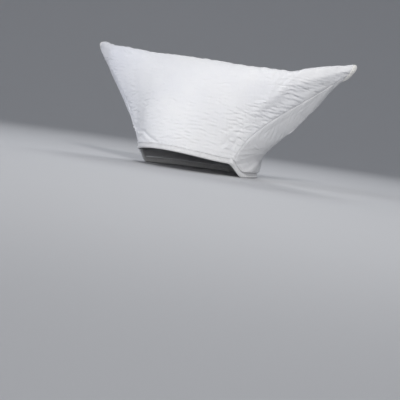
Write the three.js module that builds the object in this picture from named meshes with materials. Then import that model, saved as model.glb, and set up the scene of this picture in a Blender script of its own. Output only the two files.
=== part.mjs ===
import * as THREE from "three";

// Two-horned cloth hat. Millimetres, +Z up, -Y is the wearer's front, +X the wearer's left.

// Driving sizes
const RIM_HALF_WIDTH = 78;       // head opening, half of its width
const RIM_HALF_LENGTH = 97.5;    // head opening, half of its length front to back
const RIDGE_HEIGHT = 148;        // middle of the ridge above the surface the hat rests on
const HALF_SPAN = 193.5;           // middle of the hat to the end of a horn, without its round tip
const TIP_RADIUS = 10.5;         // a horn at its end
const CLOTH = 2.0;               // folded and stiffened cloth
const SEAM_GAP = 0.3;            // space between two pieces
const BROW_RISE = 23;            // the hem is this much higher at the brow than at the sides
const FLAT_FROM = 12;            // the foot of the hem is flat from here, in front of the middle, to the back
const SHOULDER_FROM = 45;        // the hem has risen to its shoulder here, in front of the middle
const TOP_SEAM_BACK = 20;        // from the ridge back to the top seam
const HEM_HEIGHT = 7;
const HEM_WIDTH = 4.6;

// Stations, from the middle of the hat (0) to a tip (1)
const FOOT_STATION = 0.44;       // where the side seam meets the hem
const FOOT_ANGLE = 67.4;         // the same place on the rim, in degrees from the front
const COLUMNS = 62;
const FRONT_ROWS = 12;
const BACK_ROWS = 16;
const HEM_STEPS = 72;

// The ridge, and the fullness of the sheets at each station.
// x is a share of HALF_SPAN, y and the two depths are shares of RIM_HALF_LENGTH, z and lift_right (how much
// higher the ridge is on the wearer's right, where it isn't creased) are shares of RIDGE_HEIGHT.
// turn: heading of the section in front of and behind the ridge; low: where the section ends (both in degrees).
const RIDGE_TABLE = [
  { at: 0.00, x: 0.000, y: -0.492, z: 0.995, lift_right: 0.000, front: 0.472, back: 1.385,
    turn_front: 0, turn_back: 0, low_front: -8, low_back: 196 },
  { at: 0.15, x: 0.145, y: -0.492, z: 0.990, lift_right: 0.010, front: 0.451, back: 1.262,
    turn_front: -5, turn_back: -8, low_front: -8, low_back: 201 },
  { at: 0.30, x: 0.295, y: -0.492, z: 0.982, lift_right: 0.025, front: 0.410, back: 0.964,
    turn_front: -11, turn_back: -16, low_front: -10, low_back: 216 },
  { at: 0.44, x: 0.434, y: -0.482, z: 0.976, lift_right: 0.037, front: 0.369, back: 0.913,
    turn_front: -16, turn_back: -22, low_front: -13, low_back: 262 },
  { at: 0.58, x: 0.574, y: -0.446, z: 0.973, lift_right: 0.054, front: 0.349, back: 0.574,
    turn_front: -6, turn_back: -29, low_front: -16, low_back: 285 },
  { at: 0.72, x: 0.710, y: -0.359, z: 0.986, lift_right: 0.057, front: 0.308, back: 0.390,
    turn_front: 10, turn_back: -21, low_front: -19, low_back: 313 },
  { at: 0.86, x: 0.851, y: -0.164, z: 1.043, lift_right: 0.025, front: 0.215, back: 0.179,
    turn_front: 28, turn_back: -10, low_front: -22, low_back: 333 },
  { at: 1.00, x: 1.000, y: 0.185, z: 1.105, lift_right: -0.017, front: 0.108, back: 0.108,
    turn_front: 45, turn_back: 45, low_front: -27, low_back: 345 },
];

// The side seam from the hem (0) to the tip (1): shares of HALF_SPAN, RIM_HALF_LENGTH and RIDGE_HEIGHT
const SEAM_TABLE = [
  { at: 0.0, x: 0.372, y: -0.385, z: 0.081 },
  { at: 0.2, x: 0.434, y: -0.379, z: 0.270 },
  { at: 0.4, x: 0.522, y: -0.328, z: 0.426 },
  { at: 0.6, x: 0.646, y: -0.236, z: 0.588 },
  { at: 0.8, x: 0.798, y: -0.072, z: 0.770 },
  { at: 1.0, x: 0.992, y: 0.144, z: 1.010 },
];

// Dents and folds: where along the hat (side -1 wearer's right, 0 both), where on the section (0 hem or side
// seam, 1 ridge, 2 back hem), half widths in the same measures, and depth in mm (positive goes in)
const DENT_TABLE = [
  { side: 1, at: 0.715, wide: 0.028, from: 0.93, long: 0.42, depth: 3.2 },
  { side: -1, at: 0.715, wide: 0.028, from: 0.93, long: 0.30, depth: 1.3 },
  { side: 0, at: 0.655, wide: 0.022, from: 0.72, long: 0.20, depth: 1.4 },
  { side: 1, at: 0.500, wide: 0.060, from: 0.18, long: 0.16, depth: 2.2 },
  { side: -1, at: 0.430, wide: 0.030, from: 0.12, long: 0.14, depth: 2.0 },
  { side: -1, at: 0.510, wide: 0.040, from: 0.10, long: 0.12, depth: -1.6 },
  { side: 0, at: 0.780, wide: 0.040, from: 0.45, long: 0.30, depth: 1.6 },
];

const RAD = Math.PI / 180;
const clamp = (v, lo, hi) => Math.min(hi, Math.max(lo, v));
const ease = (t) => t * t * (3 - 2 * t);
const mix = (a, b, t) => a + (b - a) * t;
const add = (a, b, k = 1) => [a[0] + b[0] * k, a[1] + b[1] * k, a[2] + b[2] * k];
const sub = (a, b) => add(a, b, -1);
const cross = (a, b) => [a[1] * b[2] - a[2] * b[1], a[2] * b[0] - a[0] * b[2], a[0] * b[1] - a[1] * b[0]];
const size = (a) => Math.hypot(a[0], a[1], a[2]);
const unit = (a) => a.map((v) => v / size(a));

// A smooth curve through one column of a table, without overshoot
function column(rows, name) {
  const x = rows.map((r) => r.at);
  const y = rows.map((r) => r[name]);
  const n = x.length;
  const h = [];
  const d = [];
  for (let i = 0; i < n - 1; i++) {
    h.push(x[i + 1] - x[i]);
    d.push((y[i + 1] - y[i]) / h[i]);
  }
  const m = [d[0]];
  for (let i = 1; i < n - 1; i++) {
    const a = 2 * h[i] + h[i - 1];
    const b = h[i] + 2 * h[i - 1];
    m.push(d[i - 1] * d[i] <= 0 ? 0 : (a + b) / (a / d[i - 1] + b / d[i]));
  }
  m.push(d[n - 2]);
  return (v) => {
    let k = 0;
    while (k < n - 2 && v >= x[k + 1]) k++;
    const t = (v - x[k]) / h[k];
    const p = y[k] * (1 + 2 * t) * (1 - t) ** 2 + m[k] * h[k] * t * (1 - t) ** 2;
    return p + y[k + 1] * t * t * (3 - 2 * t) + m[k + 1] * h[k] * t * t * (t - 1);
  };
}

const ridge = {};
for (const name of ["x", "y", "z", "lift_right", "front", "back"]) {
  ridge[name] = column(RIDGE_TABLE, name);
}
for (const name of ["turn_front", "turn_back", "low_front", "low_back"]) {
  ridge[name] = column(RIDGE_TABLE, name);
}
const seam = {};
for (const name of ["x", "y", "z"]) {
  seam[name] = column(SEAM_TABLE, name);
}

// Height of the hem's lower edge: flat at the sides and the back, with a shoulder in front of each ear and a
// slow rise from there to the brow
function rimHeight(y) {
  const shoulder = ease(clamp((-y - FLAT_FROM) / (SHOULDER_FROM - FLAT_FROM), 0, 1));
  const brow = clamp((-y - SHOULDER_FROM) / (RIM_HALF_LENGTH - SHOULDER_FROM), 0, 1) ** 1.5;
  return BROW_RISE * (0.72 * shoulder + 0.28 * brow);
}

// The rim oval, by the angle from the front
function rimPoint(angle) {
  const y = -RIM_HALF_LENGTH * Math.cos(angle);
  return [RIM_HALF_WIDTH * Math.sin(angle), y, rimHeight(y)];
}

function seamPoint(share) {
  const p = [seam.x(share) * HALF_SPAN, seam.y(share) * RIM_HALF_LENGTH, seam.z(share) * RIDGE_HEIGHT];
  const start = [seam.x(0) * HALF_SPAN, seam.y(0) * RIM_HALF_LENGTH, seam.z(0) * RIDGE_HEIGHT];
  return add(p, sub(rimPoint(FOOT_ANGLE * RAD), start), (1 - share) ** 2);
}

// The lower ends of a section: on the rim up to the foot of the side seam, on the seam beyond it
function lowerEnds(at) {
  if (at > FOOT_STATION) {
    const p = seamPoint((at - FOOT_STATION) / (1 - FOOT_STATION));
    return [p, p];
  }
  const share = at / FOOT_STATION;
  const foot = FOOT_ANGLE * RAD;
  return [rimPoint(foot * share), rimPoint(Math.PI - (Math.PI - foot) * share)];
}

function dent(side, at, w) {
  let depth = 0;
  for (const d of DENT_TABLE) {
    if (d.side * side >= 0) {
      depth += d.depth * Math.exp(-(((at - d.at) / d.wide) ** 2) - ((w - d.from) / d.long) ** 2);
    }
  }
  return depth;
}

// Outer face without its dents. u runs from tip to tip (-1 to 1); w from the front edge (0) over the
// ridge (1) to the back edge (2). Each section is an elliptic arc in front of the ridge and one behind it.
function smoothSkin(u, w) {
  const at = Math.abs(u);
  const side = u < 0 ? -1 : 1;
  const [front, back] = lowerEnds(at);
  const height = ridge.z(at) + (side < 0 ? ridge.lift_right(at) : 0);
  const top = [ridge.x(at) * HALF_SPAN, ridge.y(at) * RIM_HALF_LENGTH, height * RIDGE_HEIGHT];
  const isFront = w <= 1;
  const turn = (isFront ? ridge.turn_front(at) : ridge.turn_back(at)) * RAD;
  const end = isFront ? front : back;
  const low = (isFront ? ridge.low_front(at) : ridge.low_back(at)) * RAD;
  const depth = (isFront ? ridge.front(at) : ridge.back(at)) * RIM_HALF_LENGTH;
  const reach = [Math.sin(turn) * depth, -Math.cos(turn) * depth, 0];
  const rise = add(sub(top, end), reach, Math.cos(low)).map((v) => v / (1 - Math.sin(low)));
  const middle = sub(top, rise);
  const angle = isFront ? mix(low, Math.PI / 2, w) : mix(Math.PI / 2, low, w - 1);
  const p = add(add(middle, rise, Math.sin(angle)), reach, Math.cos(angle));
  return [side * p[0], p[1], p[2]];
}

// Outward direction of one face
function faceNormal(u, w) {
  const e = 0.004;
  const along = sub(smoothSkin(Math.min(1, u + e), w), smoothSkin(Math.max(-1, u - e), w));
  const w0 = Math.max(w <= 1 ? 0 : 1, w - e);
  const w1 = Math.min(w <= 1 ? 1 : 2, w + e);
  return unit(cross(along, sub(smoothSkin(u, w1), smoothSkin(u, w0))));
}

// Direction of the end of a horn
function hornAxis(side) {
  const middle = (u) => add(smoothSkin(u, 0.9), smoothSkin(u, 1.6)).map((v) => v / 2);
  const across = sub(smoothSkin(side, 1.5), smoothSkin(side, 1));
  const other = sub(smoothSkin(side, 0), smoothSkin(side, 1));
  const n = unit(cross(across, other));
  const out = sub(middle(side), middle(side * 0.97));
  return n[0] * out[0] + n[1] * out[1] + n[2] * out[2] > 0 ? n : add([0, 0, 0], n, -1);
}

// Outward direction of the cloth: both sheets share it along the side seam, it is level at the hem, and it
// lies in the plane of the opening at the end of a horn
function outward(u, w) {
  const at = Math.abs(u);
  const [low] = lowerEnds(at);
  const near = ease(clamp(w < 1 ? 1 - w / 0.2 : (w - 1.8) / 0.2, 0, 1));
  let n = faceNormal(u, w);
  if (near > 0) {
    const both = at > FOOT_STATION ? unit(add(faceNormal(u, 0), faceNormal(u, 2))) : n;
    const lift = at > FOOT_STATION ? clamp((low[2] - rimHeight(low[1])) / 25, 0, 1) : 0;
    const shared = unit([both[0], both[1], both[2] * lift]);
    n = unit(add(n.map((v) => v * (1 - near)), shared, near));
  }
  const end = ease(clamp((at - 0.93) / 0.07, 0, 1));
  if (end > 0) {
    const axis = hornAxis(u < 0 ? -1 : 1);
    n = unit(add(n, axis, -end * (n[0] * axis[0] + n[1] * axis[1] + n[2] * axis[2])));
  }
  return n;
}

// A point of the cloth, `inside` mm in from its outer face
function skin(u, w, inside) {
  const depth = dent(u < 0 ? -1 : 1, Math.abs(u), w) + inside;
  return add(smoothSkin(u, w), outward(u, w), -depth);
}

// A sheet of cloth on a grid of (u, w) given by `place`, closed by its edges
function sheetGeometry(columns, rows, place) {
  const position = [];
  const index = [];
  const id = (i, j, k) => (i * (rows + 1) + j) * 2 + k;
  for (let i = 0; i <= columns; i++) {
    for (let j = 0; j <= rows; j++) {
      const [u, w] = place(i / columns, j / rows);
      position.push(...skin(u, w, 0), ...skin(u, w, CLOTH));
    }
  }
  const quad = (a, b, c, d) => index.push(a, b, c, a, c, d);
  for (let i = 0; i < columns; i++) {
    for (let j = 0; j < rows; j++) {
      quad(id(i, j, 0), id(i + 1, j, 0), id(i + 1, j + 1, 0), id(i, j + 1, 0));
      quad(id(i, j, 1), id(i, j + 1, 1), id(i + 1, j + 1, 1), id(i + 1, j, 1));
    }
    quad(id(i, 0, 0), id(i, 0, 1), id(i + 1, 0, 1), id(i + 1, 0, 0));
    quad(id(i, rows, 0), id(i + 1, rows, 0), id(i + 1, rows, 1), id(i, rows, 1));
  }
  for (let j = 0; j < rows; j++) {
    quad(id(0, j, 0), id(0, j + 1, 0), id(0, j + 1, 1), id(0, j, 1));
    quad(id(columns, j, 0), id(columns, j, 1), id(columns, j + 1, 1), id(columns, j + 1, 0));
  }
  const geometry = new THREE.BufferGeometry();
  geometry.setAttribute("position", new THREE.Float32BufferAttribute(position, 3));
  geometry.setIndex(index);
  return geometry;
}

// Length of a section from w0 to w1, to turn millimetres into steps of w
function arcLength(u, w0, w1) {
  let total = 0;
  for (let i = 0; i < 12; i++) {
    total += size(sub(smoothSkin(u, mix(w0, w1, i / 12)), smoothSkin(u, mix(w0, w1, (i + 1) / 12))));
  }
  return total;
}

// Where a sheet starts, as a step of w from the lower end of its section: half a gap from the side seam,
// and a whole gap over the hem
function edgeStep(u, isFront) {
  const clearance = (step) => {
    const p = smoothSkin(u, isFront ? step : 2 - step);
    return p[2] - rimHeight(p[1]) - HEM_HEIGHT - SEAM_GAP;
  };
  let step = SEAM_GAP / 2 / arcLength(u, isFront ? 0 : 1, isFront ? 1 : 2);
  if (clearance(step) < 0) {
    let high = step;
    while (clearance(high) < 0) high += 0.01;
    for (let i = 0; i < 30; i++) {
      const middle = (step + high) / 2;
      if (clearance(middle) < 0) step = middle;
      else high = middle;
    }
  }
  return step;
}

// The top seam lies a little behind the ridge
const topSeam = (u) => 1 + mix(TOP_SEAM_BACK, TIP_RADIUS, u * u) / arcLength(u, 1, 2);

// Stations are closer together near the tips
const station = (s) => {
  const v = 2 * s - 1;
  return v * (1.12 - 0.12 * v * v);
};

function frontPlace(s, t) {
  const u = station(s);
  const w0 = edgeStep(u, true);
  const w1 = topSeam(u) - SEAM_GAP / 2 / arcLength(u, 1, 2);
  return [u, mix(w0, w1, t)];
}

function backPlace(s, t) {
  const u = station(s);
  const length = arcLength(u, 1, 2);
  return [u, mix(topSeam(u) + SEAM_GAP / 2 / length, 2 - edgeStep(u, false), t)];
}

// The rolled hem: a closed band round the rim with a flat foot
function hemGeometry() {
  const section = [];
  const half = HEM_WIDTH / 2;
  for (const [x, z] of [[-0.55, 0], [0.55, 0], [1, 0.28], [1, 0.72], [0.6, 1], [-0.6, 1], [-1, 0.72], [-1, 0.28]]) {
    section.push([x * half, z * HEM_HEIGHT]);
  }
  const position = [];
  const index = [];
  const count = section.length;
  for (let i = 0; i < HEM_STEPS; i++) {
    const angle = (i / HEM_STEPS) * 2 * Math.PI;
    const p = rimPoint(angle);
    const out = unit([Math.sin(angle) / RIM_HALF_WIDTH, -Math.cos(angle) / RIM_HALF_LENGTH, 0]);
    for (const [x, z] of section) {
      const q = add(p, out, x - CLOTH / 2);
      position.push(q[0], q[1], q[2] + z);
    }
  }
  for (let i = 0; i < HEM_STEPS; i++) {
    const n = (i + 1) % HEM_STEPS;
    for (let j = 0; j < count; j++) {
      const m = (j + 1) % count;
      index.push(i * count + j, n * count + j, n * count + m);
      index.push(i * count + j, n * count + m, i * count + m);
    }
  }
  const geometry = new THREE.BufferGeometry();
  geometry.setAttribute("position", new THREE.Float32BufferAttribute(position, 3));
  geometry.setIndex(index);
  return geometry;
}

// The stuffed end of a horn: a round cap on the end of the tube
function tipGeometry(side) {
  const around = 20;
  const rings = 6;
  const rim = [];
  for (let i = 0; i < around; i++) {
    rim.push(smoothSkin(side, (i / around) * 2));
  }
  const centre = [0, 1, 2].map((k) => rim.reduce((sum, p) => sum + p[k], 0) / around);
  const out = hornAxis(side);
  const position = [];
  const index = [];
  for (let r = 0; r < rings; r++) {
    const a = (r / rings) * (Math.PI / 2);
    const grow = 1.0 + 0.10 * Math.sin(2 * a);
    for (const p of rim) {
      const q = add(centre, sub(p, centre), Math.cos(a) * grow);
      position.push(...add(q, out, SEAM_GAP + Math.sin(a) * TIP_RADIUS * 0.95));
    }
  }
  position.push(...add(centre, out, SEAM_GAP));
  position.push(...add(centre, out, SEAM_GAP + TIP_RADIUS * 0.95));
  const base = rings * around;
  const faces = [];
  for (let i = 0; i < around; i++) {
    const n = (i + 1) % around;
    faces.push([base, n, i]);
    for (let r = 0; r < rings - 1; r++) {
      faces.push([r * around + i, r * around + n, (r + 1) * around + n]);
      faces.push([r * around + i, (r + 1) * around + n, (r + 1) * around + i]);
    }
    faces.push([(rings - 1) * around + i, (rings - 1) * around + n, base + 1]);
  }
  for (const f of faces) {
    index.push(...(side > 0 ? f : [f[0], f[2], f[1]]));
  }
  const geometry = new THREE.BufferGeometry();
  geometry.setAttribute("position", new THREE.Float32BufferAttribute(position, 3));
  geometry.setIndex(index);
  return geometry;
}

// Outward facing triangles whatever the order of the points
function faceOut(geometry) {
  const p = geometry.attributes.position.array;
  const f = geometry.index.array;
  let volume = 0;
  for (let i = 0; i < f.length; i += 3) {
    const [a, b, c] = [f[i], f[i + 1], f[i + 2]].map((k) => [p[3 * k], p[3 * k + 1], p[3 * k + 2]]);
    const n = cross(b, c);
    volume += a[0] * n[0] + a[1] * n[1] + a[2] * n[2];
  }
  if (volume < 0) {
    for (let i = 0; i < f.length; i += 3) {
      [f[i + 1], f[i + 2]] = [f[i + 2], f[i + 1]];
    }
  }
  return geometry;
}

const hat = new THREE.Group();
hat.name = "two_horned_cloth_hat";

function piece(name, colour, geometry) {
  const material = new THREE.MeshStandardMaterial({ color: colour, roughness: 0.9, metalness: 0 });
  material.name = name;
  faceOut(geometry);
  geometry.computeVertexNormals();
  const mesh = new THREE.Mesh(geometry, material);
  mesh.name = name;
  hat.add(mesh);
}

piece("front_panel", 0xe9e9ec, sheetGeometry(COLUMNS, FRONT_ROWS, frontPlace));
piece("back_panel", 0xdcdcdd, sheetGeometry(COLUMNS, BACK_ROWS, backPlace));
piece("rim_hem", 0xe4e3e2, hemGeometry());
piece("horn_tip_left", 0xe6e1d2, tipGeometry(1));
piece("horn_tip_right", 0xdedad8, tipGeometry(-1));

// The origin is under the middle of the hat, on the surface it rests on
const box = new THREE.Box3().setFromObject(hat);
for (const mesh of hat.children) {
  mesh.geometry.translate(-(box.min.x + box.max.x) / 2, -(box.min.y + box.max.y) / 2, -box.min.z);
}

export default hat;
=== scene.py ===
import math
import bpy
import numpy as np
from mathutils import Matrix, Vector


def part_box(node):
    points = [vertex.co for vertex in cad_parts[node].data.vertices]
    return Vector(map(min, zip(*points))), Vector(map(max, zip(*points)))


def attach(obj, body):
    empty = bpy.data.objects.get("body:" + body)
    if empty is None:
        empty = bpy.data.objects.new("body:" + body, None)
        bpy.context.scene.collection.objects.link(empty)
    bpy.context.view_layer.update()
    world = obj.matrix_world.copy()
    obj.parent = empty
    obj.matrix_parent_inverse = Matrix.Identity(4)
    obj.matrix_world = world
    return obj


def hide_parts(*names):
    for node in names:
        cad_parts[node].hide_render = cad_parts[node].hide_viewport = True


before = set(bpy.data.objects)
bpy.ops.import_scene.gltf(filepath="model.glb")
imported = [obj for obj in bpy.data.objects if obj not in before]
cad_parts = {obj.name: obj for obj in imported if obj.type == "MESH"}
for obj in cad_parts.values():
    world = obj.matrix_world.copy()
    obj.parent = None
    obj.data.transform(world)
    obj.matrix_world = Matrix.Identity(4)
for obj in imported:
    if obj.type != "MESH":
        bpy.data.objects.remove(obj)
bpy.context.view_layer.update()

# The hat's own sizes, in mm, as in the part's source
RIM_HALF_WIDTH = 78.0
RIM_HALF_LENGTH = 97.5
RIDGE_HEIGHT = 148.0
HALF_SPAN = 193.5
TIP_RADIUS = 10.5
CLOTH = 2.0
BROW_RISE = 23.0
FLAT_FROM = 12.0
SHOULDER_FROM = 45.0
TOP_SEAM_BACK = 20.0
HEM_HEIGHT = 7.0
HEM_WIDTH = 4.6
FOOT_STATION = 0.44
FOOT_ANGLE = math.radians(67.4)

# The pieces of cloth meet more closely here than the part's solids do
SEAM_GAP = 0.06

MM_PER_M = 1000
SQUARE_MM_PER_M2 = 1e6

# The ridge, from the middle (at 0) to the tips (at 1), in shares and degrees. The columns after
# the first are named in RIDGE_COLUMNS: place, rise on the wearer's right, depth of the sheets in
# front and behind, and the turn and the lowest angle of their sections.
RIDGE_TABLE = np.array([
    [0.00, 0.000, -0.492, 0.995, 0.000, 0.472, 1.385, 0, 0, -8, 196],
    [0.15, 0.145, -0.492, 0.990, 0.010, 0.451, 1.262, -5, -8, -8, 201],
    [0.30, 0.295, -0.492, 0.982, 0.025, 0.410, 0.964, -11, -16, -10, 216],
    [0.44, 0.434, -0.482, 0.976, 0.037, 0.369, 0.913, -16, -22, -13, 262],
    [0.58, 0.574, -0.446, 0.973, 0.054, 0.349, 0.574, -6, -29, -16, 285],
    [0.72, 0.710, -0.359, 0.986, 0.057, 0.308, 0.390, 10, -21, -19, 313],
    [0.86, 0.851, -0.164, 1.043, 0.025, 0.215, 0.179, 28, -10, -22, 333],
    [1.00, 1.000, 0.185, 1.105, -0.017, 0.108, 0.108, 45, 45, -27, 345],
])
RIDGE_COLUMNS = ["x", "y", "z", "lift_right", "front", "back",
                 "turn_front", "turn_back", "low_front", "low_back"]

# at, x, y, z along the side seam (shares)
SEAM_TABLE = np.array([
    [0.0, 0.372, -0.385, 0.081],
    [0.2, 0.434, -0.379, 0.270],
    [0.4, 0.522, -0.328, 0.426],
    [0.6, 0.646, -0.236, 0.588],
    [0.8, 0.798, -0.072, 0.770],
    [1.0, 0.992, 0.144, 1.010],
])

# side, at, wide, from, long, depth in mm (positive goes in)
DENT_TABLE = [
    (1, 0.715, 0.028, 0.93, 0.42, 3.2),
    (-1, 0.715, 0.028, 0.93, 0.30, 1.3),
    (0, 0.655, 0.022, 0.72, 0.20, 1.4),
    (1, 0.500, 0.060, 0.18, 0.16, 2.2),
    (-1, 0.430, 0.030, 0.12, 0.14, 2.0),
    (-1, 0.510, 0.040, 0.10, 0.12, -1.6),
    (0, 0.780, 0.040, 0.45, 0.30, 1.6),
]


def ease(t):
    t = np.clip(t, 0, 1)
    return t * t * (3 - 2 * t)


def mix(a, b, t):
    return a + (b - a) * t


def unit(a):
    return a / np.maximum(np.linalg.norm(a, axis=-1, keepdims=True), 1e-12)


# A smooth curve through one column of a table, without overshoot
def column(x, y):
    h = np.diff(x)
    d = np.diff(y) / h
    m = [d[0]]
    for i in range(1, len(d)):
        a, b = 2 * h[i] + h[i - 1], h[i] + 2 * h[i - 1]
        m.append(0.0 if d[i - 1] * d[i] <= 0 else (a + b) / (a / d[i - 1] + b / d[i]))
    m.append(d[-1])
    m = np.array(m)

    def value(v):
        k = np.clip(np.searchsorted(x, v, side="right") - 1, 0, len(h) - 1)
        t = (v - x[k]) / h[k]
        low = y[k] * (1 + 2 * t) * (1 - t) ** 2 + m[k] * h[k] * t * (1 - t) ** 2
        return low + y[k + 1] * t * t * (3 - 2 * t) + m[k + 1] * h[k] * t * t * (t - 1)

    return value


def columns_of(table, names):
    return {name: column(table[:, 0], table[:, i + 1]) for i, name in enumerate(names)}


ridge = columns_of(RIDGE_TABLE, RIDGE_COLUMNS)
seam = columns_of(SEAM_TABLE, "xyz")
SPAN = np.array([HALF_SPAN, RIM_HALF_LENGTH, RIDGE_HEIGHT])


def rim_height(y):
    shoulder = ease((-y - FLAT_FROM) / (SHOULDER_FROM - FLAT_FROM))
    brow = np.clip((-y - SHOULDER_FROM) / (RIM_HALF_LENGTH - SHOULDER_FROM), 0, 1) ** 1.5
    return BROW_RISE * (0.72 * shoulder + 0.28 * brow)


def rim_point(angle):
    y = -RIM_HALF_LENGTH * np.cos(angle)
    return np.stack([RIM_HALF_WIDTH * np.sin(angle), y, rim_height(y)], -1)


def seam_point(share):
    p = np.stack([seam[c](share) for c in "xyz"], -1) * SPAN
    start = np.array([seam[c](np.array(0.0)) for c in "xyz"]) * SPAN
    return p + (rim_point(np.array(FOOT_ANGLE)) - start) * ((1 - share) ** 2)[..., None]


def lower_ends(at):
    share = np.clip(at / FOOT_STATION, 0, 1)
    front = rim_point(FOOT_ANGLE * share)
    back = rim_point(math.pi - (math.pi - FOOT_ANGLE) * share)
    side = seam_point(np.clip((at - FOOT_STATION) / (1 - FOOT_STATION), 0, 1))
    past = (at > FOOT_STATION)[..., None]
    return np.where(past, side, front), np.where(past, side, back)


def dent(side, at, w):
    depth = np.zeros_like(at)
    for d_side, d_at, wide, d_from, long, d in DENT_TABLE:
        bump = d * np.exp(-(((at - d_at) / wide) ** 2) - ((w - d_from) / long) ** 2)
        depth += np.where(d_side * side >= 0, bump, 0)
    return depth


# The outer face: u runs from tip to tip (-1 to 1), and w from the front edge (0) over the ridge (1)
# to the back (2)
def smooth_skin(u, w):
    u, w = np.broadcast_arrays(np.asarray(u, float), np.asarray(w, float))
    at = np.abs(u)
    side = np.where(u < 0, -1.0, 1.0)
    front, back = lower_ends(at)
    top = np.stack([ridge[c](at) for c in "xyz"], -1) * SPAN
    top[..., 2] += np.where(u < 0, ridge["lift_right"](at), 0) * RIDGE_HEIGHT
    is_front = w <= 1
    turn = np.radians(np.where(is_front, ridge["turn_front"](at), ridge["turn_back"](at)))
    low = np.radians(np.where(is_front, ridge["low_front"](at), ridge["low_back"](at)))
    depth = np.where(is_front, ridge["front"](at), ridge["back"](at)) * RIM_HALF_LENGTH
    end = np.where(is_front[..., None], front, back)
    reach = np.stack([np.sin(turn) * depth, -np.cos(turn) * depth, np.zeros_like(depth)], -1)
    rise = (top - end + reach * np.cos(low)[..., None]) / (1 - np.sin(low))[..., None]
    angle = np.where(is_front, mix(low, math.pi / 2, w), mix(math.pi / 2, low, w - 1))
    p = top - rise + rise * np.sin(angle)[..., None] + reach * np.cos(angle)[..., None]
    return np.stack([side * p[..., 0], p[..., 1], p[..., 2]], -1)


NORMAL_STEP = 0.004


def face_normal(u, w):
    e = NORMAL_STEP
    along = smooth_skin(np.minimum(1, u + e), w) - smooth_skin(np.maximum(-1, u - e), w)
    w0 = np.maximum(np.where(w <= 1, 0, 1), w - e)
    w1 = np.minimum(np.where(w <= 1, 1, 2), w + e)
    return unit(np.cross(along, smooth_skin(u, w1) - smooth_skin(u, w0)))


# The direction that the open end of a horn faces
def horn_axis(side):
    def middle(u):
        return (smooth_skin(u, 0.9) + smooth_skin(u, 1.6)) / 2

    top = smooth_skin(side, 1)
    n = unit(np.cross(smooth_skin(side, 1.5) - top, smooth_skin(side, 0) - top))
    return n if n @ (middle(side) - middle(side * 0.97)) > 0 else -n


AXIS = {1: horn_axis(1.0), -1: horn_axis(-1.0)}


# The sheets share one direction along this much of w beside a side seam
SHARED_W = 0.2
# That direction lies level on the hem, and rises with the seam over this height in mm
LIFT_OVER = 25
# From here to the tips the direction turns square to the horn's axis
SQUARE_FROM = 0.93
SQUARE_OVER = 0.07


# The direction in which cloth is thick
def outward(u, w):
    u, w = np.broadcast_arrays(np.asarray(u, float), np.asarray(w, float))
    at = np.abs(u)
    low = lower_ends(at)[0]
    near = ease(np.where(w < 1, 1 - w / SHARED_W, (w - (2 - SHARED_W)) / SHARED_W))[..., None]
    n = face_normal(u, w)
    past = at > FOOT_STATION
    both = unit(face_normal(u, np.zeros_like(w)) + face_normal(u, np.full_like(w, 2.0)))
    both = np.where(past[..., None], both, n)
    risen = low[..., 2] - rim_height(low[..., 1])
    lift = np.where(past, np.clip(risen / LIFT_OVER, 0, 1), 0)
    shared = unit(both * np.stack([np.ones_like(lift), np.ones_like(lift), lift], -1))
    n = unit(n * (1 - near) + shared * near)
    end = ease((at - SQUARE_FROM) / SQUARE_OVER)[..., None]
    axis = np.where((u < 0)[..., None], AXIS[-1], AXIS[1])
    return unit(n - axis * end * np.sum(n * axis, -1, keepdims=True))


ARC_POINTS = 13


# The length of the skin at u, from w0 to w1
def arc_length(u, w0, w1):
    steps = np.linspace(0, 1, ARC_POINTS)
    w = mix(np.asarray(w0, float)[..., None], np.asarray(w1, float)[..., None], steps)
    p = smooth_skin(np.asarray(u)[..., None], w)
    return np.linalg.norm(np.diff(p, axis=-2), axis=-1).sum(-1)


EDGE_STEP = 0.01
EDGE_STEPS = 60
EDGE_HALVINGS = 26


# The length of the front or of the back half of the skin at u, up to the ridge
def half_length(u, is_front):
    start = 0 if is_front else 1
    return arc_length(u, np.full_like(u, start), np.full_like(u, start + 1))


# How far in w a sheet's lower edge stays back, so that it clears the hem or the other sheet
def edge_step(u, is_front):
    def clearance(step):
        p = smooth_skin(u, step if is_front else 2 - step)
        return p[..., 2] - rim_height(p[..., 1]) - HEM_HEIGHT - SEAM_GAP

    least = SEAM_GAP / 2 / half_length(u, is_front)
    low = least.copy()
    high = least.copy()
    for _ in range(EDGE_STEPS):
        high = np.where(clearance(high) < 0, high + EDGE_STEP, high)
    for _ in range(EDGE_HALVINGS):
        middle = (low + high) / 2
        under = clearance(middle) < 0
        low = np.where(under, middle, low)
        high = np.where(under, high, middle)
    return np.maximum(high, least)


# w of the seam behind the ridge
def top_seam(u):
    return 1 + mix(TOP_SEAM_BACK, TIP_RADIUS, u * u) / half_length(u, False)


# u at a share of the way from tip to tip, with the columns closer together at the tips
def station(s):
    v = 2 * s - 1
    return v * (1.12 - 0.12 * v * v)


# A share from 0 to 1 that looks random, and is the same each time for the same cell and seed
def scatter(i, j, seed):
    n = (i * 374761393 + j * 668265263 + seed * 144269504) & 0xFFFFFFFF
    n = ((n ^ (n >> 13)) * 1274126177) & 0xFFFFFFFF
    return ((n ^ (n >> 16)) & 0xFFFF) / 65535.0


def smoother(t):
    return t ** 3 * (t * (t * 6 - 15) + 10)


# Smooth noise between -1 and 1
def noise(x, y, seed):
    xi, yi = np.floor(x).astype(np.int64), np.floor(y).astype(np.int64)
    fx, fy = smoother(x - xi), smoother(y - yi)

    def corner(i, j):
        return 2 * scatter(i, j, seed) - 1

    low = mix(corner(xi, yi), corner(xi + 1, yi), fx)
    high = mix(corner(xi, yi + 1), corner(xi + 1, yi + 1), fx)
    return mix(low, high, fy)


def gauss(x, middle, half):
    return np.exp(-(((x - middle) / half) ** 2))


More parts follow.
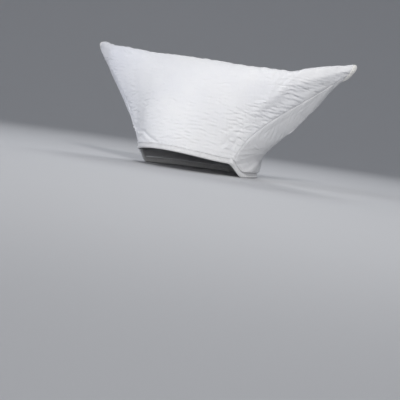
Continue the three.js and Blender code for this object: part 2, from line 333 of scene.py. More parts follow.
# Where the part's frame puts the hat's own zero, which is under the middle of the hem
hem_low, hem_high = [np.array(c) * MM_PER_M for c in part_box("rim_hem")]
SHIFT = np.array([(hem_low[0] + hem_high[0]) / 2, (hem_low[1] + hem_high[1]) / 2, hem_low[2]])


# `cloth` is the place on the flat cloth, and `seam_place` the place along the nearest seam and the
# distance from it, all in mm
def mesh_object(name, points, faces, cloth, seam_place, material):
    mesh = bpy.data.meshes.new(name)
    mesh.from_pydata(((points + SHIFT) / MM_PER_M).tolist(), [], [tuple(f) for f in faces])
    loops = np.empty(len(mesh.loops), dtype=np.int32)
    mesh.loops.foreach_get("vertex_index", loops)
    for layer_name, uv in (("cloth", cloth), ("seam", seam_place)):
        layer = mesh.uv_layers.new(name=layer_name)
        layer.data.foreach_set("uv", (uv[loops] / MM_PER_M).ravel())
    mesh.materials.append(material)
    mesh.polygons.foreach_set("use_smooth", [True] * len(mesh.polygons))
    mesh.update()
    obj = bpy.data.objects.new(name, mesh)
    bpy.context.collection.objects.link(obj)
    return obj


def grid_faces(columns, rows, start=0, flip=False):
    i, j = np.meshgrid(np.arange(columns), np.arange(rows), indexing="ij")
    a = start + i * (rows + 1) + j
    quad = np.stack([a, a + rows + 1, a + rows + 2, a + 1], -1).reshape(-1, 4)
    return quad[:, ::-1] if flip else quad


# Each pass blends a point with the two that are so many columns away
ROUNDING_PASSES = [4] * 50 + [1] * 30
ROUNDED_FROM = 0.20
ROUNDING_FADE = 0.12
ROUNDING_MARGIN = 26


# Along the horns' roots the part's faces turn at one line, and cloth rounds it off.
# It is rounded from ROUNDED_FROM out to `until` along u, and not at the sheet's edges.
def rounded(base, u, up, down, until):
    soft = base.copy()
    for k in ROUNDING_PASSES:
        soft[k:-k] = soft[k:-k] / 2 + (soft[:-2 * k] + soft[2 * k:]) / 4
    at = np.abs(u)
    share = ease((at - ROUNDED_FROM) / ROUNDING_FADE) * ease((until - at) / ROUNDING_FADE)
    share = share * ease(up / ROUNDING_MARGIN) * ease(down / ROUNDING_MARGIN)
    return mix(base, soft, share[..., None])


# The dents are shallower than in the part, on the wearer's right and left
DENT_SHARE_RIGHT = 0.6
DENT_SHARE_LEFT = 0.75
# The inner face takes one line of points in so many
INNER_STEP = 4


# A sheet: a fine outer face, a plain and coarser inner face, and strips that close its edges.
# `up` and `down` are the lengths in mm to its lower and upper edge, and `a` and `b` the place on
# the flat cloth.
def sheet_object(name, columns, rows, w_range, flat_place, relief, until, material):
    u1 = station(np.linspace(0, 1, columns + 1))
    w0, w1 = w_range(u1)
    u = np.repeat(u1[:, None], rows + 1, 1)
    w = mix(w0[:, None], w1[:, None], np.linspace(0, 1, rows + 1)[None])
    base = smooth_skin(u, w)
    normal = outward(u, w)
    dents = dent(np.where(u < 0, -1, 1), np.abs(u), w)
    dents = dents * np.where(u < 0, DENT_SHARE_RIGHT, DENT_SHARE_LEFT)
    step = np.linalg.norm(np.diff(base, axis=1), axis=-1)
    up = np.concatenate([np.zeros((columns + 1, 1)), np.cumsum(step, 1)], 1)
    down = up[:, -1:] - up
    base = rounded(base, u, up, down, until)
    a, b = flat_place(u, w, base, up)
    outer = base + normal * (relief(u, w, a, b, up, down) - dents)[..., None]
    inner = base - normal * (CLOTH + dents)[..., None]
    k = INNER_STEP
    flat = np.stack([a, b], -1)
    near = np.stack([a, np.minimum(up, down)], -1)
    points = [outer.reshape(-1, 3), inner[::k, ::k].reshape(-1, 3)]
    cloths = [flat.reshape(-1, 2), flat[::k, ::k].reshape(-1, 2)]
    seams = [near.reshape(-1, 2), near[::k, ::k].reshape(-1, 2)]
    inner_faces = grid_faces(columns // k, rows // k, len(points[0]), flip=True)
    faces = [grid_faces(columns, rows), inner_faces]
    count = len(points[0]) + len(points[1])
    i, j = np.arange(columns + 1), np.arange(rows + 1)
    edges = [(i, 0 * i), (0 * j + columns, j), (i[::-1], 0 * i + rows), (0 * j, j[::-1])]
    for i, j in edges:
        points.append(np.stack([outer[i, j], inner[i, j]], 1).reshape(-1, 3))
        cloths.append(np.repeat(flat[i, j][:, None], 2, 1).reshape(-1, 2))
        seams.append(np.repeat(near[i, j][:, None], 2, 1).reshape(-1, 2))
        q = count + np.arange(len(i) - 1) * 2
        faces.append(np.stack([q, q + 1, q + 3, q + 2], -1))
        count += 2 * len(i)
    parts = [np.concatenate(part) for part in (points, faces, cloths, seams)]
    return mesh_object(name, *parts, material), grid_area(outer) / SQUARE_MM_PER_M2


def grid_area(p):
    d1 = p[1:, 1:] - p[:-1, :-1]
    d2 = p[1:, :-1] - p[:-1, 1:]
    return float(np.linalg.norm(np.cross(d1, d2), axis=-1).sum() / 2)


# Materials

ROUGHNESS = 0.86
SPECULAR = 0.25
SHEEN = 0.25
SHEEN_ROUGHNESS = 0.45
# The rows of stitches, in metres: from the seam to a row, half a row's width, from stitch to
# stitch; then the share of that which a stitch takes, and its depth against the weave's
STITCH_ROW = 0.0032
STITCH_HALF = 0.00045
STITCH_PITCH = 0.0028
STITCH_SHARE = 0.68
STITCH_DEPTH = 1.5
SLUB_SCALE = 160.0
BLOTCH_SCALE = 22.0
BUMP_DISTANCE = 0.0003
THREAD_SHARE = 0.12
THREAD_SHADE_GREY = (0.72, 0.72, 0.74)
WHITE = (1, 1, 1)


# A plain woven cotton. Each tint is painted shade: it multiplies the colour along the object's X,
# from nothing at its first place to all of it at its second, in metres.
def cloth_material(name, colour, shade, weave_mm, weave_strength, mottling, painted_shade_tints=()):
    mat = bpy.data.materials.new(name)
    mat.use_nodes = True
    nodes, links = mat.node_tree.nodes, mat.node_tree.links
    nodes.clear()
    out = nodes.new("ShaderNodeOutputMaterial")
    bsdf = nodes.new("ShaderNodeBsdfPrincipled")
    bsdf.inputs["Roughness"].default_value = ROUGHNESS
    bsdf.inputs["Sheen Weight"].default_value = SHEEN
    bsdf.inputs["Sheen Roughness"].default_value = SHEEN_ROUGHNESS
    bsdf.inputs["Specular IOR Level"].default_value = SPECULAR
    links.new(bsdf.outputs["BSDF"], out.inputs["Surface"])

    def axes(vector):
        split = nodes.new("ShaderNodeSeparateXYZ")
        links.new(vector, split.inputs["Vector"])
        return split.outputs

    def uv_place(layer):
        uv = nodes.new("ShaderNodeUVMap")
        uv.uv_map = layer
        return uv.outputs["UV"]

    def noise_node(vector, scale, detail):
        n = nodes.new("ShaderNodeTexNoise")
        n.inputs["Scale"].default_value = scale
        n.inputs["Detail"].default_value = detail
        links.new(vector, n.inputs["Vector"])
        return n.outputs[0]

    def ramp_node(value, low, low_colour, high, high_colour):
        n = nodes.new("ShaderNodeValToRGB")
        ends = ((low, low_colour), (high, high_colour))
        for element, (position, end_colour) in zip(n.color_ramp.elements, ends):
            element.position = position
            element.color = (*end_colour, 1)
        links.new(value, n.inputs[0])
        return n.outputs[0]

    def multiply_colour(base):
        n = nodes.new("ShaderNodeMix")
        n.data_type = "RGBA"
        n.blend_type = "MULTIPLY"
        links.new(base, n.inputs["A"])
        return n

    def math_node(operation, a, b=None):
        n = nodes.new("ShaderNodeMath")
        n.operation = operation
        for socket, value in zip(n.inputs, (a, b)):
            if value is None:
                continue
            if isinstance(value, (int, float)):
                socket.default_value = value
            else:
                links.new(value, socket)
        return n.outputs[0]

    # Plain weave: warp and weft threads pass over each other in turn
    cloth = uv_place("cloth")
    place = axes(cloth)
    turns = 2 * math.pi / (weave_mm * 0.001)
    warp = math_node("SINE", math_node("MULTIPLY", place["X"], turns))
    weft = math_node("SINE", math_node("MULTIPLY", place["Y"], turns))
    over = math_node("MULTIPLY", warp, weft)
    # Slubs: threads of uneven thickness
    slub = noise_node(cloth, SLUB_SCALE, 3.0)
    height = math_node("ADD", math_node("MULTIPLY", over, 0.5), slub)
    # A row of short stitches beside each seam
    place = axes(uv_place("seam"))
    from_row = math_node("ABSOLUTE", math_node("SUBTRACT", place["Y"], STITCH_ROW))
    in_row = math_node("LESS_THAN", from_row, STITCH_HALF)
    along = math_node("FRACT", math_node("DIVIDE", place["X"], STITCH_PITCH))
    stitch = math_node("MULTIPLY", in_row, math_node("LESS_THAN", along, STITCH_SHARE))
    sunk = math_node("MULTIPLY", math_node("SUBTRACT", stitch, in_row), STITCH_DEPTH)
    height = math_node("ADD", height, sunk)
    bump = nodes.new("ShaderNodeBump")
    bump.inputs["Strength"].default_value = weave_strength
    bump.inputs["Distance"].default_value = BUMP_DISTANCE
    links.new(height, bump.inputs["Height"])
    links.new(bump.outputs["Normal"], bsdf.inputs["Normal"])
    # Colour: broad soft blotches, painted shade tints, and painted shade darkening the weave
    # between its threads
    coords = nodes.new("ShaderNodeTexCoord").outputs["Object"]
    broad = noise_node(coords, BLOTCH_SCALE, 4.0)
    base = ramp_node(broad, 0.5 - mottling, shade, 0.5 + mottling, colour)
    for start, end, tint in painted_shade_tints:
        amount = nodes.new("ShaderNodeMapRange")
        amount.interpolation_type = "SMOOTHSTEP"
        amount.inputs["From Min"].default_value = start
        amount.inputs["From Max"].default_value = end
        links.new(axes(coords)["X"], amount.inputs["Value"])
        tinted = multiply_colour(base)
        links.new(amount.outputs["Result"], tinted.inputs["Factor"])
        tinted.inputs["B"].default_value = (*tint, 1)
        base = tinted.outputs["Result"]
    # Painted shade between the threads: the weave's low places are greyer
    threads = multiply_colour(base)
    threads.inputs["Factor"].default_value = THREAD_SHARE
    lit = math_node("MULTIPLY_ADD", over, 0.5)
    links.new(ramp_node(lit, 0.2, THREAD_SHADE_GREY, 0.8, WHITE), threads.inputs["B"])
    links.new(threads.outputs["Result"], bsdf.inputs["Base Color"])
    return mat


# Painted shade: a faint cool lavender over the front sheet towards -X
PAINTED_COOL_SHADE = (-0.02, -0.14, (0.95, 0.957, 0.995))
# Painted shade: a warm grey on the front sheet's end at -X, where the horn turns away from the
# light
PAINTED_END_SHADE = (-0.120, -0.160, (0.93, 0.92, 0.905))
front_cloth = cloth_material(
    "front_cloth", (0.88, 0.88, 0.885), (0.82, 0.825, 0.85), 0.9, 0.5, 0.25, (PAINTED_COOL_SHADE, PAINTED_END_SHADE))
# The back sheet's cloth is greyer than the front's; part of that grey is painted shade
back_cloth = cloth_material(
    "back_cloth", (0.765, 0.765, 0.775), (0.68, 0.685, 0.70), 1.1, 0.6, 0.25)
hem_cloth = cloth_material(
    "hem_cloth", (0.80, 0.80, 0.805), (0.72, 0.72, 0.73), 0.9, 0.5, 0.25)
tip_left_cloth = cloth_material(
    "tip_cloth_cream", (0.88, 0.87, 0.835), (0.83, 0.82, 0.785), 0.9, 0.5, 0.3)
# The tip on the wearer's right is grey as painted shade
tip_right_shaded_cloth = cloth_material(
    "tip_cloth_grey", (0.78, 0.765, 0.76), (0.70, 0.69, 0.685), 0.9, 0.5, 0.3)

# The front sheet

COLUMN_MM = 11.5
COLUMN_DEPTH = 0.19
CREASE_LONG = 5.6
CREASE_HALF = 1.2
CREASE_LIP_AT = 2.1
CREASE_LIP_HALF = 1.4
CREASE_LIP = 0.6
CREASE_LEAN = 0.5
CELL_A = 9.6
CELL_B = 4.6


# A crinkled cotton: many short creases, each in its own cell of the cloth, in faint columns.
# `turn` is the angle of the creases from the cloth's width, in radians.
def seersucker(a, b, amount, turn, seed, reach=1.0):
    ia, jb = np.floor(a / CELL_A).astype(np.int64), np.floor(b / CELL_B).astype(np.int64)
    height = np.zeros_like(a)
    c, s = np.cos(turn), np.sin(turn)
    for di in (-1, 0, 1):
        for dj in (-2, -1, 0, 1, 2):
            i, j = ia + di, jb + dj
            x = a - (i + 0.5 + 0.9 * (scatter(i, j, seed) - 0.5)) * CELL_A
            y = b - (j + 0.5 + 0.8 * (scatter(i, j, seed + 1) - 0.5)) * CELL_B
            lean = CREASE_LEAN * (scatter(i, j, seed + 2) - 0.5)
            along, across = x * c + y * s, y * c - x * s
            across = across - lean * along
            deep = np.clip(1.5 * scatter(i, j, seed + 3) - 0.28, 0, 1.1)
            long = reach * CREASE_LONG * (0.6 + 0.6 * scatter(i, j, seed + 4))
            lip = np.exp(-((across - CREASE_LIP_AT) / CREASE_LIP_HALF) ** 2)
            shape = np.exp(-(across / CREASE_HALF) ** 2) - CREASE_LIP * lip
            height -= deep * np.exp(-(along / long) ** 2) * shape
    col = a / COLUMN_MM + 0.15 * noise(a / 40, b / 60, 15)
    across = col - np.floor(col + 0.5)
    patches = np.clip(0.85 + 0.55 * noise(a / 17 + 3, b / 13, 14), 0.25, 1.4)
    columns = COLUMN_DEPTH * np.exp(-((np.abs(across) - 0.5) / 0.08) ** 2)
    return amount * patches * height - columns


# Half of a crease along a line: a soft valley with a fuller lip on one side
def crease(distance, along, half, depth, lip):
    valley = -depth * np.exp(-(distance / half) ** 2)
    return along * (valley + lip * np.exp(-((distance - 1.9 * half) / (1.5 * half)) ** 2))


# Soft unevenness, faded out towards the sheet's lower and upper edge
def uneven(a, up, down, size_a, size_up, shift, seed, height, fade):
    rough = noise(a / size_a + shift, up / size_up, seed)
    return height * rough * ease(up / fade) * ease(down / fade)


# w of the crest along a horn, at places of u
CREST_W = np.array([0.20, 0.265, 0.33, 0.425, 0.475, 0.45])
CREST_U = np.array([0.56, 0.630, 0.688, 0.768, 0.865, 0.958])

# The cloth is longer than the hat's width and height, by its fullness
FULLNESS_X = 1.08
FULLNESS_Z = 1.07

# A length in mm along the horns' roots for u = 1, which the creases there are measured by
ROOT_MM = 190

# Soft dimples above the foot of the left side seam: u and height above the edge in mm, width in u,
# height in mm, depth in mm
DIMPLES = (
    (0.385, 14, 0.022, 5, 1.3),
    (0.430, 22, 0.020, 6, 1.5),
    (0.475, 15, 0.018, 5, 1.3),
    (0.520, 27, 0.020, 6, 1.1),
    (0.400, 33, 0.020, 6, 0.9),
    (0.460, 38, 0.022, 6, 0.8),
)
DIMPLE_LEAN = 90

# The soft fold on the wearer's right: its height above the edge in mm, at places of u
FOLD_U = [-0.66, -0.60, -0.52, -0.44, -0.30, -0.20, -0.10, -0.02]
FOLD_UP = [36, 28, 17, 18, 17, 14, 5, 0]


# The front sheet is nearly flat when it is laid out, so its threads run level and upright
def front_place(u, w, base, up):
    ridge_y = ridge["y"](np.abs(u)) * RIM_HALF_LENGTH
    over_ridge = np.where(w > 1, base[..., 1] - ridge_y, 0)
    return base[..., 0] * FULLNESS_X, base[..., 2] * FULLNESS_Z + over_ridge


def front_relief(u, w, a, b, up, down):
    at = np.abs(u)
    left = u < 0
    edge = ease(up / 4) * ease(down / 4)
    # The strip beside the side seam is crinkled most, the upper half least
    crest_w = np.interp(at, CREST_U, CREST_W)
    below = ease((at - 0.40) / 0.14) / (1 + np.exp((w - crest_w - 0.09) / 0.06))
    low = gauss(b, 66, 40)
    foot = gauss(u, 0.42, 0.14) * gauss(up, 20, 20)
    corner = gauss(u, -0.42, 0.16) * np.exp(-(up / 20) ** 2)
    amount = 0.22 + 0.38 * low + np.where(left, 0.50, 0.52) * below + 0.65 * foot + 0.50 * corner
    side = 0.45 * gauss(u, -0.38, 0.2) * gauss(b, 80, 24)
    amount = amount + side + 0.25 * np.exp(-((up / 16) ** 2))
    strip = np.maximum(below, foot)
    turn = np.where(left, 0.12, -0.05 - 0.15 * strip)
    h = edge * seersucker(a, b, amount, turn, 50, 1 - 0.4 * strip)
    fine = seersucker(1.5 * a + 40, 1.5 * b + 20, 1.0, turn, 80, 0.8)
    h += edge * strip * np.where(left, 0.85, 1.0) * fine
    h += uneven(a, up, down, 38, 44, 9, 21, 0.9, 18)
    h += uneven(a, up, down, 15, 21, 0, 22, 0.35, 10)
    # The crest along the horn and the hollow between it and the side seam
    horn = ease((at - 0.56) / 0.12) * (1 - 0.6 * ease((at - 0.88) / 0.12))
    h += horn * (1.3 * gauss(w, crest_w + 0.02, 0.10) - 0.9 * gauss(w, 0.52 * crest_w, 0.10))
    # Creases that run down from the notch in the ridge
    notch = np.where(left, 0.12, 0.45)
    line = 0.760 - 0.062 * ease((0.80 - w) / 0.45)
    reach = ease((w - 0.28) / 0.2) * ease((1.1 - w) / 0.2)
    h += notch * crease((at - line) * ROOT_MM, reach, 2.6, 1.5, 0.5)
    line = 0.693 + 0.02 * (w - 0.5)
    reach = np.where(left, 0.5, 0.6) * gauss(w, 0.60, 0.20)
    h += crease((at - line) * ROOT_MM, reach, 2.0, 0.7, 0.3)
    h += notch * crease((at - 0.612) * ROOT_MM, gauss(w, 0.60, 0.18), 2.2, 0.55, 0.25)
    for du, dw, wide, high, deep in DIMPLES:
        lean = DIMPLE_LEAN * (u - du)
        across = gauss(u, du, 1.4 * wide)
        h -= 0.5 * deep * across * gauss(up - lean, dw, 0.5 * high)
        h += 0.25 * deep * across * gauss(up - lean, dw - 0.9 * high, 0.6 * high)
    # On the wearer's right the sheet turns in along a soft fold, with a second one beside it
    fold_up = np.interp(u, FOLD_U, FOLD_UP)
    reach = ease((u + 0.70) / 0.1) * ease((-0.01 - u) / 0.06)
    h += crease(fold_up - up, reach * (1 + 0.5 * ease((-0.42 - u) / 0.1)), 2.1, 1.7, 0.7)
    h += 0.5 * crease(fold_up - 8 - up, reach * ease((fold_up - 9) / 3), 2.2, 1.2, 0.4)
    # Gathers that run in from the side seam and from the brow
    gathers = np.sin(2 * np.pi * (a / 7.5 + 0.5 * noise(a / 16, up / 25, 23)))
    h += 0.15 * gathers * np.exp(-up / 9) * ease((at - FOOT_STATION) / 0.05) * ease(up / 2)
    brow = np.sin(2 * np.pi * (a / 6.2 + 0.8 * noise(a / 14, up / 20, 24)))
    h += 0.28 * brow * np.exp(-up / 5) * ease((FOOT_STATION - at) / 0.05) * ease(up / 1.5)
    # Puckers along the top seam give the ridge its slightly scalloped edge
    waves = np.sin(2 * np.pi * (a / 15 + 0.4 * noise(a / 30, a * 0, 26)))
    puckers = noise(a / 7.0, down * 0.0 + 2.5, 25) + 0.5 * waves
    h += 0.55 * puckers * np.exp(-((down - 19) / 12) ** 2)
    # The cloth turns in at its seams, and not over the hem
    seam_turn = (0.9 + 0.5 * gauss(at, 0.48, 0.08)) * ease((at - FOOT_STATION + 0.02) / 0.04)
    h -= seam_turn * np.exp(-(up / 1.3) ** 2) + 0.9 * np.exp(-(down / 1.4) ** 2)
    return h


# The back sheet

# The back sheet's cloth is measured along this line of w
BACK_MIDDLE = 1.45


def back_place(u, w, base, up):
    middle = smooth_skin(u[:, 0], np.full(len(u), BACK_MIDDLE))
    step = np.linalg.norm(np.diff(middle, axis=0), axis=1)
    along = np.concatenate([[0], np.cumsum(step)])
    return np.repeat((along - along[len(along) // 2])[:, None], u.shape[1], 1), up


def back_relief(u, w, a, b, up, down):
    at = np.abs(u)
    side = np.sign(u)
    edge = ease(up / 4) * ease(down / 4)
    h = uneven(a, up, down, 37, 45, 4, 31, 0.4, 15)
    h += uneven(a, up, down, 12, 17, 0, 32, 0.42, 6)
    h += edge * seersucker(a, up, 0.32 + 0.12 * gauss(at, 0.7, 0.2), 0.2 * side, 60)
    h += edge * 0.5 * seersucker(1.6 * a + 30, 1.6 * up + 10, 0.7, -0.3 * side, 90, 0.7)
    h += 0.15 * noise(a / 2.8, up / 2.2, 36)
    # A line of shallow creases beside the side seam, and gathers that run in from it
    beside = gauss(down, 11 + 2 * noise(a / 25, a * 0, 33), 1.8)
    h -= 0.28 * beside * ease((at - 0.46) / 0.06) * ease((0.95 - at) / 0.1)
    gathers = np.sin(2 * np.pi * (a / 9.0 + 0.6 * noise(a / 18, down / 25, 34)))
    h += 0.40 * gathers * np.exp(-down / 14) * ease(down / 2)
    # Soft folds down the back of the cap
    folds = noise(a / 24 + 1.7, up / 160, 35)
    h += 0.9 * folds * (1 - ease((at - 0.40) / 0.15)) * gauss(up, 120, 70) * ease(down / 30)
    # The cloth turns in at its seams, and not where the side seam ends on the hem
    at_hem, at_seam = np.exp(-(up / 1.4) ** 2), np.exp(-(down / 1.5) ** 2)
    corner = np.exp(-((up / 6) ** 2) - ((down / 6) ** 2))
    h -= np.maximum(0.9 * at_hem, 1.1 * at_seam) * (1 - corner)
    return h


def front_range(u):
    return edge_step(u, True), top_seam(u) - SEAM_GAP / 2 / half_length(u, False)


def back_range(u):
    return top_seam(u) + SEAM_GAP / 2 / half_length(u, False), 2 - edge_step(u, False)


front_panel, front_area = sheet_object(
    "front_sheet", 464, 188, front_range, front_place, front_relief, 0.70, front_cloth)
back_panel, back_area = sheet_object(
    "back_sheet", 464, 180, back_range, back_place, back_relief, 0.95, back_cloth)

# The rolled hem

HEM_STEPS = 720
HEM_AROUND = 32
# The roll's section is a rounded square: squarer above than below
SQUARE_ABOVE = 0.30
SQUARE_BELOW = 0.85
# The roll keeps back from the part's outer side by twice this, in mm
HEM_INSET = 0.6
# Where the side seams end on the hem, along y
SEAM_FOOT_Y = -36


def hem_object():
    angle = np.linspace(0, 2 * np.pi, HEM_STEPS, endpoint=False)
    p = rim_point(angle)
    sideways = np.sin(angle) / RIM_HALF_WIDTH
    out = unit(np.stack([sideways, -np.cos(angle) / RIM_HALF_LENGTH, 0 * angle], -1))
    step = np.linalg.norm(np.diff(p, axis=0), axis=1)
    length = np.concatenate([[0], np.cumsum(step)])
    turn = np.linspace(0, 2 * np.pi, HEM_AROUND, endpoint=False)
    cx, cz = np.cos(turn), np.sin(turn)
    square = np.where(cz > 0, SQUARE_ABOVE, SQUARE_BELOW)
    x = np.sign(cx) * np.abs(cx) ** square
    z = np.sign(cz) * np.abs(cz) ** square
    # Puckered between its stitches, and outside rolled at the foot and drawn in above it
    pucker = np.sin(2 * np.pi * (length / 5.3 + 0.8 * noise(length / 13, length * 0, 42)))
    roll = (0.30 * noise(length / 8, length * 0, 41) + 0.16 * pucker)[:, None]
    wide, high = np.broadcast_arrays(length[:, None], 3.5 * z[None] + 80)
    fold = 0.45 * gauss(z, -0.60, 0.36) - 0.55 * gauss(z, 0.20, 0.42)
    # The roll is fuller where it steps down at the feet of the side seams
    full = gauss(p[:, 1], SEAM_FOOT_Y, 5)[:, None]
    outside = 0.5 * seersucker(wide, high, 1.1, 0.25, 70) + fold[None] * (1 - full) + 2.0 * full
    roll = roll + np.where(x[None] > 0, outside, 0)
    half = HEM_WIDTH / 2 - HEM_INSET + roll * (0.4 + 0.6 * (z[None] > -0.6))
    x = x[None] * half - CLOTH / 2 - HEM_INSET
    z = HEM_HEIGHT / 2 * (1 + z[None]) + 0.7 * full * ease(z[None])
    q = p[:, None] + out[:, None] * x[..., None] + np.stack([0 * z, 0 * z, z], -1)
    faces = []
    for i in range(HEM_STEPS):
        a, b = i * HEM_AROUND, (i + 1) % HEM_STEPS * HEM_AROUND
        for j in range(HEM_AROUND):
            m = (j + 1) % HEM_AROUND
            faces.append((a + j, a + m, b + m, b + j))
    cloth = np.stack(np.broadcast_arrays(length[:, None], (turn * 3)[None]), -1)
    seam_place = np.stack(np.broadcast_arrays(length[:, None], HEM_HEIGHT - z), -1)
    points, cloth, seam_place = q.reshape(-1, 3), cloth.reshape(-1, 2), seam_place.reshape(-1, 2)
    return mesh_object("hem_roll", points, faces, cloth, seam_place, hem_cloth)


hem = hem_object()

# The stuffed round ends of the horns

TIP_AROUND = 96
TIP_RINGS = 40
TIP_GATHERS = 11


# A dome on the horn's open end, that goes on along the horn and hangs fuller below.
# `follow` is how much it leans from the end's own direction to the horn's.
def tip_object(name, side, follow, bulge, hang, material):
    k = np.arange(TIP_AROUND) / TIP_AROUND
    rim = smooth_skin(float(side), k * 2)
    centre = rim.mean(0)
    before = smooth_skin(side * 0.93, k * 2).mean(0)
    out = unit(mix(AXIS[side], unit(centre - before), follow))
    a = np.linspace(0, np.pi / 2, TIP_RINGS)
    swell = np.sin(2 * a) ** 0.8
    grow = 1 + bulge * swell + 0.03 * np.exp(-((a - 0.12) / 0.12) ** 2)
    gather = np.cos(2 * np.pi * TIP_GATHERS * k + 1.5 * np.sin(2 * np.pi * k))[None]
    gather = gather * np.sin(2 * a)[:, None] ** 0.5
    gather = 1 + gather * mix(0.030, 0.012, a / a[-1])[:, None]
    low = np.clip(-unit(rim - centre)[:, 2], 0, 1) ** 0.7
    fuller = 1 + hang * low[None] * swell[:, None]
    r = (np.cos(a) * grow)[:, None] * gather * fuller
    rise = 0.1 + np.sin(a) * TIP_RADIUS * 0.95 * (1 + 0.5 * bulge)
    q = centre + (rim - centre)[None] * r[..., None] + out * rise[:, None, None]
    points = q[:-1].reshape(-1, 3)
    top = len(points)
    points = np.concatenate([points, [centre + out * rise[-1]], [centre + out * rise[0]]])
    faces = []
    for i in range(TIP_AROUND):
        n = (i + 1) % TIP_AROUND
        for j in range(TIP_RINGS - 2):
            this, above = j * TIP_AROUND, (j + 1) * TIP_AROUND
            faces.append((this + i, this + n, above + n, above + i))
        last = (TIP_RINGS - 2) * TIP_AROUND
        faces.append((last + i, last + n, top))
        faces.append((n, i, top + 1))
    if side < 0:
        faces = [f[::-1] for f in faces]
    uv = np.stack(np.broadcast_arrays((k * 60)[None], (a * 9)[:-1, None]), -1).reshape(-1, 2)
    uv = np.concatenate([uv, [[0, 14], [0, 0]]])
    return mesh_object(name, points, faces, uv, uv + [0, 2], material)


tip_left = tip_object("tip_left", 1, 0.6, 0.10, 0.0, tip_left_cloth)
tip_right = tip_object("tip_right", -1, 0.15, 0.26, 0.45, tip_right_shaded_cloth)

# Which piece stands for which solid

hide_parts("front_panel")
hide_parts("back_panel")
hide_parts("rim_hem")
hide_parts("horn_tip_left")
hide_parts("horn_tip_right")
for piece, slot in ((front_panel, "front_cloth"), (back_panel, "back_cloth"), (hem, "hem_cloth"),
                    (tip_left, "tip_cloth"), (tip_right, "tip_cloth")):
    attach(piece, "root")

# Floor and backdrop in one pale surface, in metres

FLOOR_FLAT = 1.6
FLOOR_BEND = 3.0
FLOOR_BEND_STEPS = 24
FLOOR_TOP = 1.2
FLOOR_AROUND = 96
FLOOR_COLOUR = (0.58, 0.585, 0.60, 1)
FLOOR_ROUGHNESS = 0.9


def studio_floor():
    radius = [0.05, 0.2, 0.5, 1.0, FLOOR_FLAT]
    height = [0.0] * len(radius)
    for i in range(1, FLOOR_BEND_STEPS + 1):
        a = i / FLOOR_BEND_STEPS * math.pi / 2
        radius.append(FLOOR_FLAT + FLOOR_BEND * math.sin(a))
        height.append(FLOOR_BEND * (1 - math.cos(a)))
    radius.append(FLOOR_FLAT + FLOOR_BEND)
    height.append(FLOOR_BEND + FLOOR_TOP)
    points = [(0.0, 0.0, 0.0)]
    for r, z in zip(radius, height):
        for i in range(FLOOR_AROUND):
            a = i / FLOOR_AROUND * 2 * math.pi
            points.append((r * math.cos(a), r * math.sin(a), z))
    faces = []
    for i in range(FLOOR_AROUND):
        n = (i + 1) % FLOOR_AROUND
        faces.append((0, 1 + i, 1 + n))
        for j in range(len(radius) - 1):
            b = 1 + j * FLOOR_AROUND
            c = b + FLOOR_AROUND
            faces.append((b + i, c + i, c + n, b + n))
    mesh = bpy.data.meshes.new("studio_floor")
    mesh.from_pydata(points, [], faces)
    mesh.polygons.foreach_set("use_smooth", [True] * len(mesh.polygons))
    obj = bpy.data.objects.new("studio_floor", mesh)
    bpy.context.collection.objects.link(obj)
    mat = bpy.data.materials.new("studio_floor")
    mat.use_nodes = True
    bsdf = mat.node_tree.nodes["Principled BSDF"]
    bsdf.inputs["Base Color"].default_value = FLOOR_COLOUR
    bsdf.inputs["Roughness"].default_value = FLOOR_ROUGHNESS
    mesh.materials.append(mat)


studio_floor()

# Light: soft round area lights, and a pale sky all round

LIGHT_SPREAD = math.radians(70)
# name, place and aim in metres, size in metres, watts, colour
LIGHTS = (
    ("key", (0.95, -1.3, 1.05), (0, 0, 0.08), 0.36, 2.05, (1.0, 0.99, 0.975)),
    ("left_fill", (-1.5, -1.1, 0.6), (0, 0, 0.1), 1.0, 1.75, (0.9, 0.93, 1.0)),
    ("front_fill", (1.0, -1.75, 0.30), (0, 0, 0.1), 0.4, 1.4, (1.0, 0.99, 0.98)),
    ("back_fill", (-0.6, 1.5, 1.5), (0, 0, 0.1), 1.0, 2.2, (0.97, 0.98, 1.0)),
)
SKY_COLOUR = (0.86, 0.89, 0.95, 1)
SKY_STRENGTH = 0.45


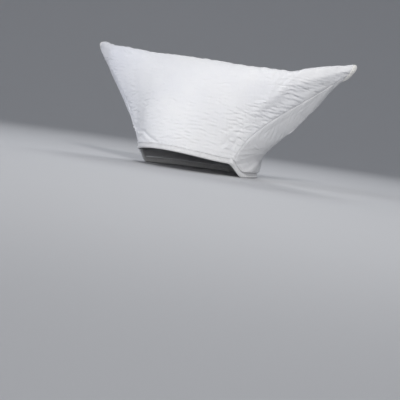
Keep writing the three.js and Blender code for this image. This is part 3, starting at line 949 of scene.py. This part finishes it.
# Puts a light or the camera in place: `back` points away from what it faces
def stand(name, data, right, up, back, place):
    obj = bpy.data.objects.new(name, data)
    bpy.context.collection.objects.link(obj)
    m = Matrix.Identity(4)
    for i in range(3):
        m[i][0], m[i][1], m[i][2], m[i][3] = right[i], up[i], back[i], place[i]
    obj.matrix_world = m
    return obj


def area_light(name, place, aim, size, watts, colour):
    data = bpy.data.lights.new(name, "AREA")
    data.shape = "DISK"
    data.size = size
    data.spread = LIGHT_SPREAD
    data.energy = watts
    data.color = colour
    place, aim = np.array(place, float), np.array(aim, float)
    back = unit(place - aim)
    right = unit(np.cross([0.0, 0.0, 1.0], back))
    stand(name, data, right, np.cross(back, right), back, place)


for light in LIGHTS:
    area_light(*light)
world = bpy.data.worlds.new("studio")
bpy.context.scene.world = world
world.use_nodes = True
sky = world.node_tree.nodes["Background"].inputs
sky["Color"].default_value = SKY_COLOUR
sky["Strength"].default_value = SKY_STRENGTH

bpy.context.scene.view_settings.view_transform = "Standard"

# Camera at the photograph's angle

AZIMUTH = math.radians(30)
ELEVATION = math.asin(60 / 1400)
DISTANCE = 1.4
ROLL = math.radians(-8.17204)
PAN = math.radians(0.403634)
TILT = math.radians(-1.659709)
FOCAL_PIXELS = 1023.682
IMAGE_PIXELS = 400
SENSOR_MM = 36


# Two axes that are square to each other, turned in their plane
def turned(a, b, angle):
    c, s = math.cos(angle), math.sin(angle)
    return a * c + b * s, b * c - a * s


def camera():
    level = math.cos(ELEVATION)
    back = np.array([math.sin(AZIMUTH) * level, -math.cos(AZIMUTH) * level, math.sin(ELEVATION)])
    place = back * DISTANCE
    forward = -back
    right = unit(np.cross(forward, [0, 0, 1]))
    up = np.cross(right, forward)
    forward, right = turned(forward, right, PAN)
    forward, up = turned(forward, up, TILT)
    right, up = turned(right, up, -ROLL)
    data = bpy.data.cameras.new("camera")
    data.sensor_fit = "HORIZONTAL"
    data.sensor_width = SENSOR_MM
    data.lens = FOCAL_PIXELS / IMAGE_PIXELS * SENSOR_MM
    data.clip_start = 0.01
    data.clip_end = 50
    bpy.context.scene.camera = stand("camera", data, right, up, -forward, place)


camera()
